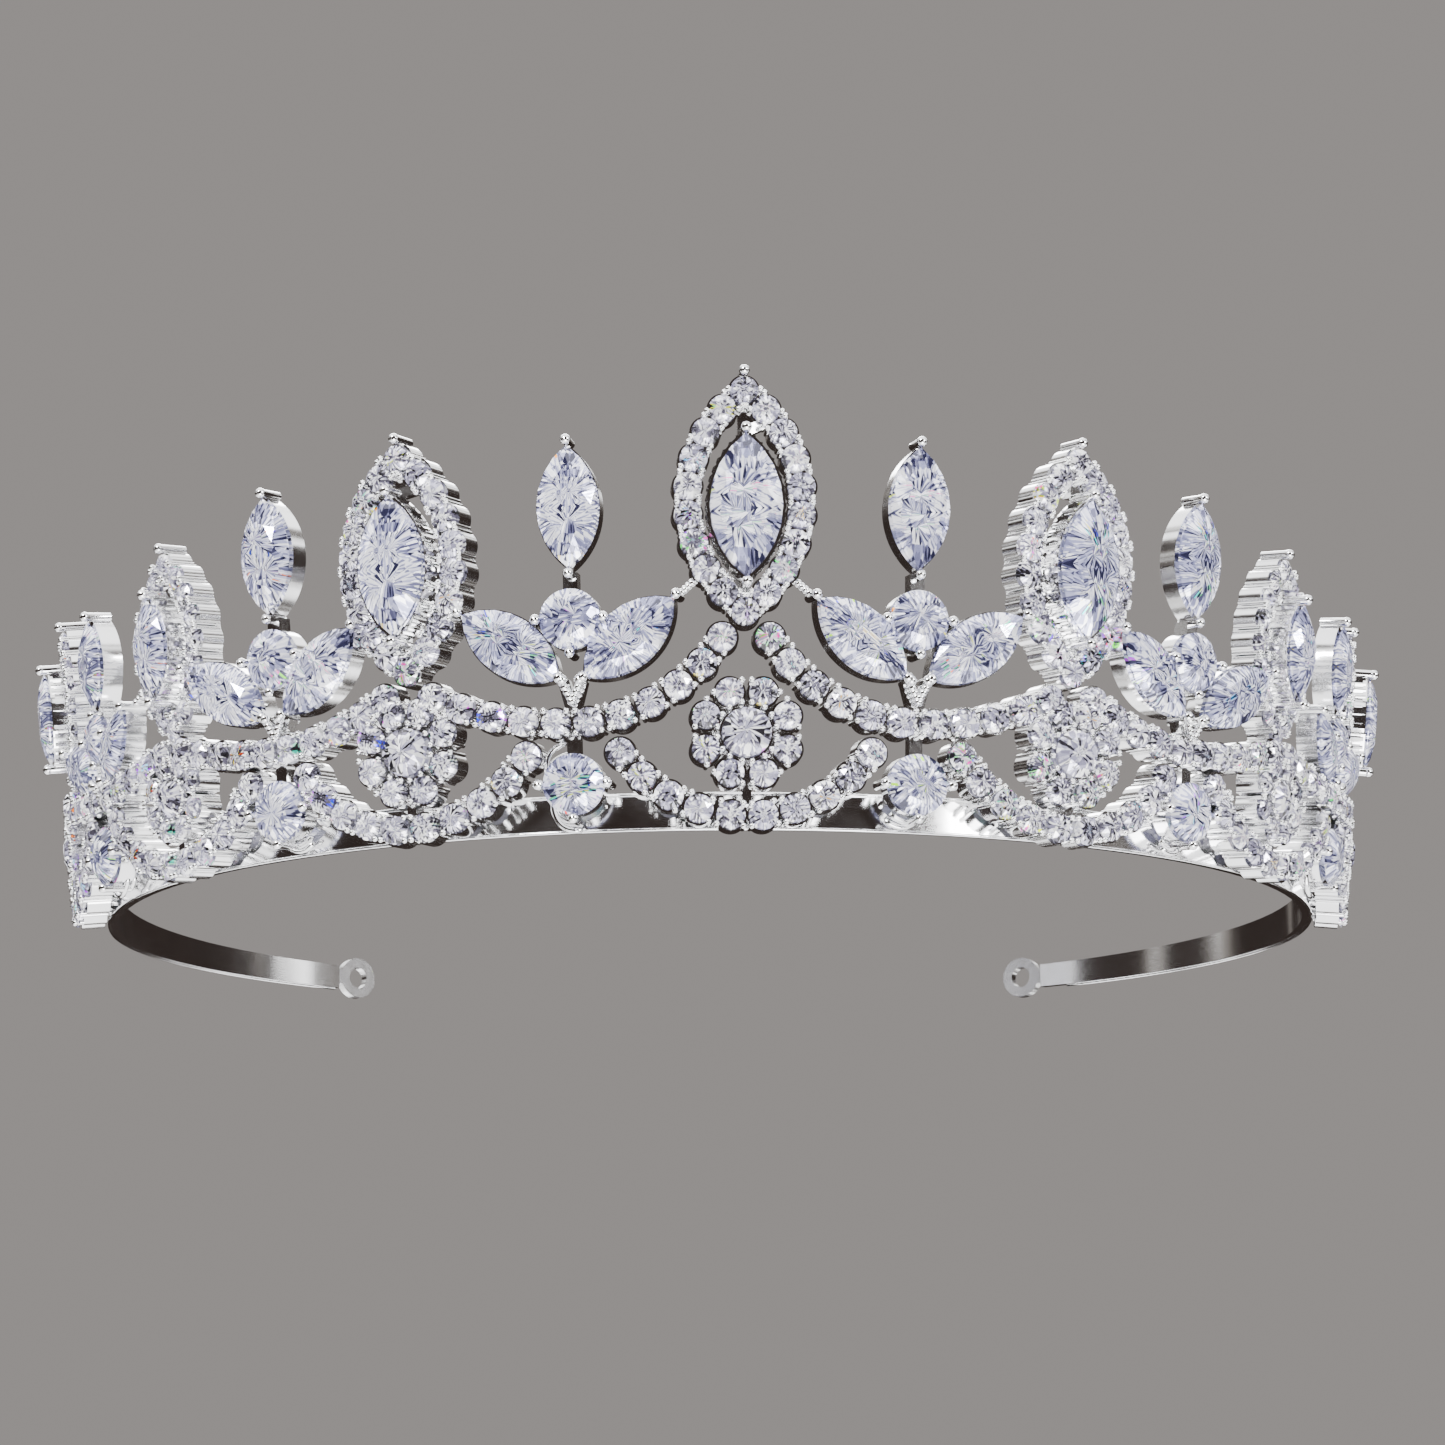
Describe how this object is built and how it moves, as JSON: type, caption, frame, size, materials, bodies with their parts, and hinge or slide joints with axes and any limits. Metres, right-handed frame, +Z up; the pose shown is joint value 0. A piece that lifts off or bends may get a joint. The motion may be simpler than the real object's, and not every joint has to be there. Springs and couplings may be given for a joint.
{
  "type": "bridal tiara",
  "caption": "Bridal tiara: open oval headband carrying a flared wall of stone-set halos, spears, leaf pairs, flower clusters and garlands in silver-coloured metal.",
  "frame": {"origin": "middle of the finished tiara from side to side and from front to back, on the surface that its lower rows of stones stand on", "axes": "+Z up the tiara, -Y out of its front, +X towards the side named right, which is the right-hand side of a person who looks at the front"},
  "size_m": [0.1442, 0.1071, 0.0452],
  "materials": {
    "cast_silver_metal": "bright rhodium-coloured plating over fine cast metal, polished",
    "band_metal": "bright polished flat strip",
    "small_stone": "clear round brilliant cut",
    "large_stone": "clear marquise and round brilliant cut"
  },
  "bodies": {
    "root": {"headband": "band_metal", "left_end_loop": "band_metal", "right_end_loop": "band_metal", "solder_posts": "cast_silver_metal", "halo_left_3": "cast_silver_metal", "halo_left_2": "cast_silver_metal", "halo_left_1": "cast_silver_metal", "halo_centre": "cast_silver_metal", "halo_right_1": "cast_silver_metal", "halo_right_2": "cast_silver_metal", "halo_right_3": "cast_silver_metal", "crest_setting_left_3": "cast_silver_metal", "crest_setting_left_2": "cast_silver_metal", "crest_setting_left_1": "cast_silver_metal", "crest_setting_centre": "cast_silver_metal", "crest_setting_right_1": "cast_silver_metal", "crest_setting_right_2": "cast_silver_metal", "crest_setting_right_3": "cast_silver_metal", "flower_left_3": "cast_silver_metal", "flower_left_2": "cast_silver_metal", "flower_left_1": "cast_silver_metal", "flower_centre": "cast_silver_metal", "flower_right_1": "cast_silver_metal", "flower_right_2": "cast_silver_metal", "flower_right_3": "cast_silver_metal", "garland_left_3": "cast_silver_metal", "garland_left_2": "cast_silver_metal", "garland_left_1": "cast_silver_metal", "garland_right_1": "cast_silver_metal", "garland_right_2": "cast_silver_metal", "garland_right_3": "cast_silver_metal", "lower_row_left_3": "cast_silver_metal", "lower_row_left_2": "cast_silver_metal", "lower_row_left_1": "cast_silver_metal", "lower_row_centre": "cast_silver_metal", "lower_row_right_1": "cast_silver_metal", "lower_row_right_2": "cast_silver_metal", "lower_row_right_3": "cast_silver_metal", "spear_left_3": "cast_silver_metal", "spear_left_2": "cast_silver_metal", "spear_left_1": "cast_silver_metal", "spear_right_1": "cast_silver_metal", "spear_right_2": "cast_silver_metal", "spear_right_3": "cast_silver_metal", "leaf_pair_left_3": "cast_silver_metal", "leaf_pair_left_2": "cast_silver_metal", "leaf_pair_left_1": "cast_silver_metal", "leaf_pair_right_1": "cast_silver_metal", "leaf_pair_right_2": "cast_silver_metal", "leaf_pair_right_3": "cast_silver_metal", "lower_baskets": "cast_silver_metal", "halo_stones": "small_stone", "flower_stones": "small_stone", "garland_stones": "small_stone", "lower_row_stones": "small_stone", "crest_stones": "large_stone", "spear_stones": "large_stone", "leaf_stones": "large_stone", "large_round_stones": "large_stone"}
  },
  "joints": []
}
